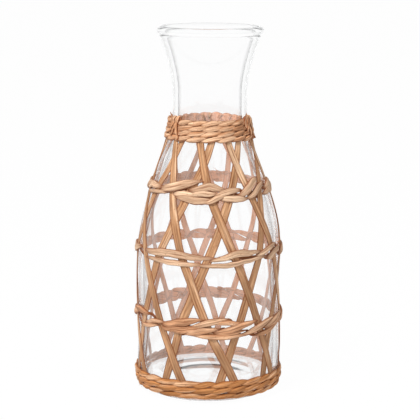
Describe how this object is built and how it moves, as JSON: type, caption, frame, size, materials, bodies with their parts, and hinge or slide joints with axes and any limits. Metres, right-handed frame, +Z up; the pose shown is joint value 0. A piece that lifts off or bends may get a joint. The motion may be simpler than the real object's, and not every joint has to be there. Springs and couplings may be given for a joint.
{
  "type": "woven-sleeve glass carafe",
  "caption": "Clear glass carafe with a flared mouth, in an open sleeve of crossed flat fibre stakes held by twined collar, bands and foot.",
  "frame": {"origin": "middle of the foot, on the surface that the carafe stands on", "axes": "+Z up along the carafe's axis; -Y faces the viewer of the picture and +X is to the viewer's right"},
  "size_m": [0.1049, 0.105, 0.255],
  "materials": {
    "clear_glass": "clear, polished",
    "stake_fibre": "dry, matte, fibres along the strip",
    "collar_fibre": "dry, matte, fibres along the strand",
    "pale_fibre": "dry, matte, fibres along the strand",
    "lower_fibre": "dry, matte, fibres along the strand",
    "foot_fibre": "dry, matte, fibres along the strand"
  },
  "bodies": {
    "root": {"glass_carafe": "clear_glass", "outer_stake_1": "stake_fibre", "outer_stake_2": "stake_fibre", "outer_stake_3": "stake_fibre", "outer_stake_4": "stake_fibre", "outer_stake_5": "stake_fibre", "outer_stake_6": "stake_fibre", "outer_stake_7": "stake_fibre", "outer_stake_8": "stake_fibre", "outer_stake_9": "stake_fibre", "inner_stake_1": "stake_fibre", "inner_stake_2": "stake_fibre", "inner_stake_3": "stake_fibre", "inner_stake_4": "stake_fibre", "inner_stake_5": "stake_fibre", "inner_stake_6": "stake_fibre", "inner_stake_7": "stake_fibre", "inner_stake_8": "stake_fibre", "inner_stake_9": "stake_fibre", "collar_weaver_1a": "collar_fibre", "collar_weaver_1b": "collar_fibre", "collar_weaver_2a": "collar_fibre", "collar_weaver_2b": "collar_fibre", "collar_weaver_3a": "collar_fibre", "collar_weaver_3b": "collar_fibre", "collar_weaver_4a": "collar_fibre", "collar_weaver_4b": "collar_fibre", "collar_lashing_1": "collar_fibre", "collar_lashing_2": "collar_fibre", "collar_lashing_3": "collar_fibre", "shoulder_weaver_a": "pale_fibre", "shoulder_weaver_b": "pale_fibre", "shoulder_weaver_c": "pale_fibre", "waist_weaver_a": "pale_fibre", "waist_weaver_b": "pale_fibre", "lower_weaver_a": "lower_fibre", "lower_weaver_b": "lower_fibre", "lower_weaver_c": "lower_fibre", "foot_weaver_1a": "foot_fibre", "foot_weaver_1b": "foot_fibre", "foot_weaver_2a": "foot_fibre", "foot_weaver_2b": "foot_fibre", "foot_weaver_3a": "foot_fibre", "foot_weaver_3b": "foot_fibre"}
  },
  "joints": []
}
